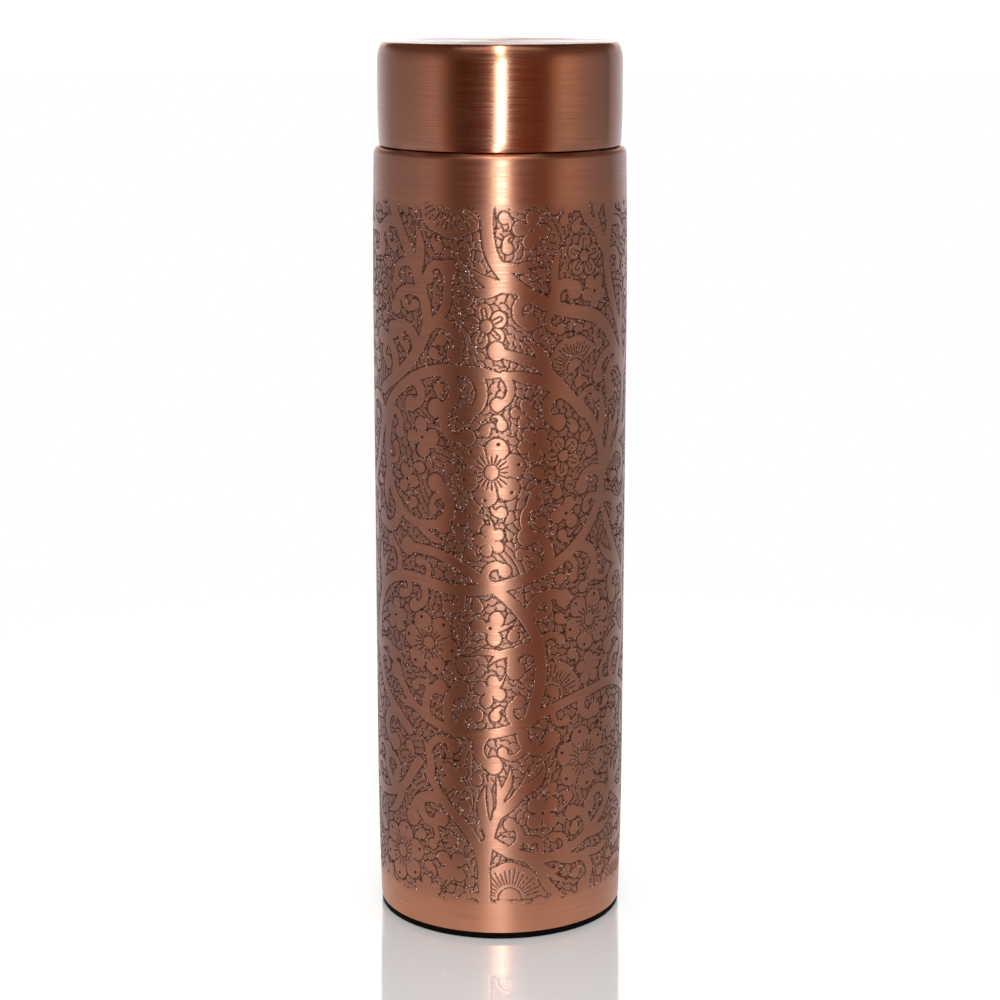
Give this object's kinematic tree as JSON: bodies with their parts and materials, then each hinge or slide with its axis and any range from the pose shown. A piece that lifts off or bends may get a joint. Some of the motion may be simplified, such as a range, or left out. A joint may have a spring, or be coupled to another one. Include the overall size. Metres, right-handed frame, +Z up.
{
  "type": "copper water bottle",
  "caption": "Tall round copper water bottle with a wide flush screw cap, a threaded neck under it and a black foot ring; unscrews to fill, drink or pour.",
  "frame": {"origin": "centre of the circle on the table that the foot ring stands on", "axes": "+Z up along the axis of the bottle, towards the cap"},
  "size_m": [0.075, 0.075, 0.262],
  "materials": {
    "engraved_copper": "brushed and engraved copper, satin, clear lacquered",
    "brushed_copper": "fine circumferential brushing, clear lacquered",
    "bare_copper": "plain drawn copper, unpolished inside",
    "turned_copper": "rolled thread, bright",
    "braze": "brazing alloy, smooth fillet",
    "black_rubber": "smooth black rubber",
    "silicone": "translucent white silicone"
  },
  "bodies": {
    "bottle": {"body_wall": "engraved_copper", "base_pan": "bare_copper", "base_braze": "braze", "foot_ring": "black_rubber", "shoulder_plate": "bare_copper", "shoulder_braze": "braze", "neck_collar": "turned_copper", "neck_braze": "braze"},
    "seal": {"cap_seal": "silicone"},
    "cap": {"cap_shell": "brushed_copper", "cap_thread_ring": "turned_copper", "cap_inner_disc": "bare_copper", "cap_bottom_ring": "bare_copper", "cap_braze": "braze"}
  },
  "joints": [
    {"name": "cap_lift", "type": "slide", "parent": "bottle", "child": "seal", "axis": [0, 0, 1], "range_m": [0, 0.02]},
    {"name": "cap_turn", "type": "hinge", "parent": "seal", "child": "cap", "pos_m": [0, 0, 0.2324], "axis": [0, 0, 1], "range_deg": [0, 1800]}
  ],
  "couplings": [
    {"joint": "cap_lift", "follows": "cap_turn", "m_per_rad": 0.00063662}
  ]
}
